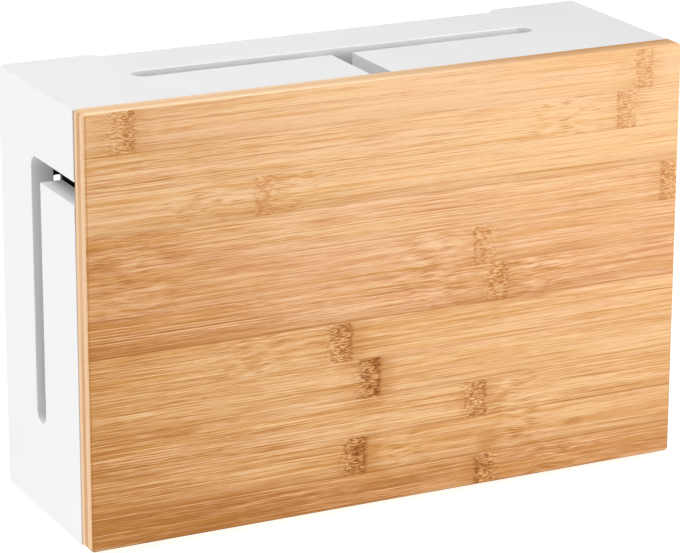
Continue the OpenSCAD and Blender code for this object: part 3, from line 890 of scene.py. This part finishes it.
def hardboard():
    m = Mat("black_hardboard")
    x, y, z = m.xyz()
    nx, ny, nz = m.normal()
    p = m.vec(x, y, z)
    fibre = m.noise(m.vec(m.op("MULTIPLY", x, 0.6), m.op("MULTIPLY", y, 0.6), m.op("MULTIPLY", z, 1.1)), 1, 4, 0.7)
    cloud = m.noise(p, 0.03, 3, 0.6)
    wx = m.op("SINE", m.op("MULTIPLY", x, 2 * math.pi / 1.3))
    wz = m.op("SINE", m.op("MULTIPLY", z, 2 * math.pi / 1.3))
    screen = m.op("MULTIPLY_ADD", m.op("MULTIPLY", wx, wz), 0.5, 0.5)
    rear = m.map(ny, 0.4, 0.6, 0.0, 1.0)
    edge = m.map(m.op("ABSOLUTE", ny), 0.6, 0.4, 0.0, 1.0)
    col = m.mix(m.map(fibre, 0.35, 0.7), (0.020, 0.019, 0.019), (0.036, 0.034, 0.033))
    col = m.mix(m.map(cloud, 0.35, 0.7, 0.0, 0.35), col, (0.016, 0.016, 0.017))
    col_r = m.mix(screen, (0.022, 0.018, 0.015), (0.050, 0.041, 0.034))
    col = m.mix(rear, col, col_r)
    col = m.mix(edge, col, (0.075, 0.052, 0.036))
    h = m.op("ADD", m.op("MULTIPLY", m.op("MULTIPLY", screen, rear), 0.12), m.op("MULTIPLY", fibre, 0.03))
    rough = m.op("ADD", m.map(fibre, 0.3, 0.7, 0.46, 0.60), m.op("MULTIPLY", rear, 0.2))
    m.set(Base_Color=col, Roughness=rough, Normal=m.bump(h, 0.7, 0.001))
    return m.m


def beech():
    m = Mat("raw_beech")
    x, y, z = m.xyz()
    g = m.noise(m.vec(m.op("MULTIPLY", x, 1.4), m.op("MULTIPLY", y, 1.4), m.op("MULTIPLY", z, 0.10)), 1, 3, 0.6)
    ray = m.noise(m.vec(m.op("MULTIPLY", x, 4.0), m.op("MULTIPLY", y, 4.0), m.op("MULTIPLY", z, 0.7)), 1, 1, 0.5)
    col = m.ramp(m.map(g, 0.3, 0.7), [(0.0, lin(222, 190, 150)), (1.0, lin(198, 158, 118))])
    col = m.mix(m.map(ray, 0.6, 0.68, 0.0, 0.6), col, lin(158, 112, 76))
    m.set(Base_Color=col, Roughness=m.map(g, 0.3, 0.7, 0.6, 0.75), Normal=m.bump(g, 0.4, 0.0005))
    return m.m


def nickel():
    m = Mat("nickel_plate")
    x, y, z = m.xyz()
    p = m.vec(x, y, z)
    s = m.noise(p, 1.2, 4, 0.65)
    f = m.noise(m.vec(m.op("MULTIPLY", x, 9.0), m.op("MULTIPLY", y, 9.0), m.op("MULTIPLY", z, 1.5)), 1, 2, 0.6)
    col = m.mix(m.map(s, 0.3, 0.7), (0.70, 0.685, 0.66), (0.80, 0.79, 0.77))
    m.set(Base_Color=col, Roughness=m.op("ADD", m.map(s, 0.3, 0.7, 0.14, 0.24), m.map(f, 0.4, 0.7, 0.0, 0.08)),
          Normal=m.bump(f, 0.12, 0.0003))
    m.b.inputs["Metallic"].default_value = 1.0
    return m.m


def zinc(name, tone, rough):
    m = Mat(name)
    x, y, z = m.xyz()
    p = m.vec(x, y, z)
    s = m.noise(p, 1.6, 4, 0.7)
    cells = m.voronoi(p, 0.9, out="Color")
    sep = m.t.nodes.new("ShaderNodeSeparateColor")
    m.put(sep.inputs[0], cells)
    col = m.mix(m.map(s, 0.3, 0.7), tuple(c * 0.84 for c in tone), tone)
    col = m.mix(m.op("MULTIPLY", sep.outputs[0], 0.14), col, (0.86, 0.88, 0.9))
    turn = m.noise(m.vec(m.op("MULTIPLY", x, 0.6), m.op("MULTIPLY", y, 14.0), m.op("MULTIPLY", z, 14.0)), 1, 2, 0.6)
    m.set(Base_Color=col, Roughness=m.map(s, 0.25, 0.75, rough - 0.06, rough + 0.1), Normal=m.bump(turn, 0.15, 0.0003))
    m.b.inputs["Metallic"].default_value = 1.0
    return m.m


def rubber():
    m = Mat("grey_rubber")
    x, y, z = m.xyz()
    p = m.vec(x, y, z)
    s = m.noise(p, 2.4, 4, 0.7)
    f = m.noise(p, 9.0, 2, 0.6)
    col = m.mix(m.map(s, 0.3, 0.7), (0.34, 0.34, 0.345), (0.42, 0.42, 0.42))
    m.set(Base_Color=col, Roughness=m.map(f, 0.3, 0.7, 0.55, 0.72), Normal=m.bump(f, 0.4, 0.0002))
    m.b.inputs["Subsurface Weight"].default_value = 0.15
    m.b.inputs["Subsurface Radius"].default_value = (0.002, 0.002, 0.002)
    return m.m


LAC = lacquer()


def place(o, body, slot_name, mat, *nodes):
    o.data.materials.clear()
    o.data.materials.append(mat)
    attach(o, body)
    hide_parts(*nodes)


place(top_board, "box", "white_lacquer", LAC, "top_panel")
place(bottom_board, "box", "white_lacquer", LAC, "bottom_panel")
place(side_boards[0], "box", "white_lacquer", LAC, "left_side_panel")
place(side_boards[1], "box", "white_lacquer", LAC, "right_side_panel")
place(dowels, "box", "beech_dowel", beech(), "joint_dowels")
place(magnets, "box", "nickel_magnet", nickel(), "rim_magnets")
place(feet, "box", "foot_rubber", rubber(), "bumper_feet")
place(face_ply, "front_board", "bamboo_face", face_material(), "front_face_ply")
place(core_ply, "front_board", "bamboo_core", core_material(), "front_core_ply")
place(back_ply, "front_board", "bamboo_back", back_material(), "front_back_ply")
place(strikes, "front_board", "zinc_steel", zinc("zinc_strike_plate", (0.62, 0.64, 0.66), 0.34), "strike_plates")
place(screws, "front_board", "screw_steel", zinc("zinc_screw", (0.60, 0.61, 0.62), 0.28), "strike_plate_screws")
NODES["back_board"].data.materials.clear()
NODES["back_board"].data.materials.append(hardboard())

# ------------------------------------------------------------------ camera
cam_data = bpy.data.cameras.new("camera")
cam = bpy.data.objects.new("camera", cam_data)
scene.collection.objects.link(cam)
scene.camera = cam
cam_data.sensor_width = 36.0
cam_data.lens = 178.26
cam_data.clip_start = 0.05
cam_data.clip_end = 50
cam_data.dof.use_dof = False
rv = Vector((1.84112756, -0.428076454, 0.317010046))
R = Matrix.Rotation(0.6 / 3367, 3, "X") @ Matrix.Rotation(rv.length, 3, rv.normalized())   # world to camera: x right, y down, z forward
C = Vector((-2.2280, -4.3580, 1.9070)) * 0.33 + Vector((0, -0.0432, 0.002))
M = Matrix((R[0], -R[1], -R[2])).transposed().to_4x4()
M.translation = C
cam.matrix_world = M

# ------------------------------------------------------------------ floor and light
WORLD = 0.30             # what the surroundings give the part
FLOOR_GLOW = 0.67
SOFTBOXES = (            # name, place, what it faces, size, power
    ("top_softbox", (-0.5, 0.3, 1.8), (0, 0, 0.15), 1.6, 14.5),
    ("top_left_softbox", (-0.8, 0.3, 1.1), (0, 0, 0.15), 0.8, 4.7),
    ("right_softbox", (0.8, -1.1, 0.3), (0.1, 0, 0.14), 0.5, 5.4),
    ("right_front_softbox", (0.5, -1.05, 0.35), (0.05, 0, 0.14), 0.6, 3.7),
    ("front_softbox", (0.45, -0.9, 0.8), (0.05, 0, 0.16), 0.6, 4.0),
)


def floor_material():
    m = Mat("studio_floor")
    x, y, z = m.xyz()
    s = m.noise(m.vec(x, y, z), 0.01, 2, 0.5)
    m.set(Base_Color=m.mix(s, (0.59, 0.59, 0.59), (0.61, 0.61, 0.61)))
    m.b.inputs["Roughness"].default_value = 0.95
    m.b.inputs["Specular IOR Level"].default_value = 0.1
    m.b.inputs["Emission Color"].default_value = (1, 1, 1, 1)
    m.b.inputs["Emission Strength"].default_value = FLOOR_GLOW
    return m.m


mesh = bpy.data.meshes.new("floor")
mesh.from_pydata([(-6, -6, 0), (6, -6, 0), (6, 6, 0), (-6, 6, 0)], [], [(0, 1, 2, 3)])
mesh.materials.append(floor_material())
floor = bpy.data.objects.new("floor", mesh)
scene.collection.objects.link(floor)

world = bpy.data.worlds.new("studio")
scene.world = world
world.use_nodes = True
wt = world.node_tree
bg = wt.nodes["Background"]
bg.inputs[0].default_value = (1, 1, 1, 1)
path = wt.nodes.new("ShaderNodeLightPath")
mul = wt.nodes.new("ShaderNodeMapRange")
mul.inputs["To Min"].default_value = WORLD
mul.inputs["To Max"].default_value = 1.0         # what the camera sees
wt.links.new(path.outputs["Is Camera Ray"], mul.inputs["Value"])
wt.links.new(mul.outputs[0], bg.inputs[1])

for name, at, target, size, power in SOFTBOXES:
    ld = bpy.data.lights.new(name, "AREA")
    ld.shape = "RECTANGLE"
    ld.size = ld.size_y = size
    ld.energy = power
    lo = bpy.data.objects.new(name, ld)
    scene.collection.objects.link(lo)
    lo.location = at
    lo.rotation_euler = (Vector(target) - Vector(at)).to_track_quat("-Z", "Y").to_euler()
    lo.visible_camera = False

scene.view_settings.view_transform = "Standard"
scene.view_settings.look = "None"
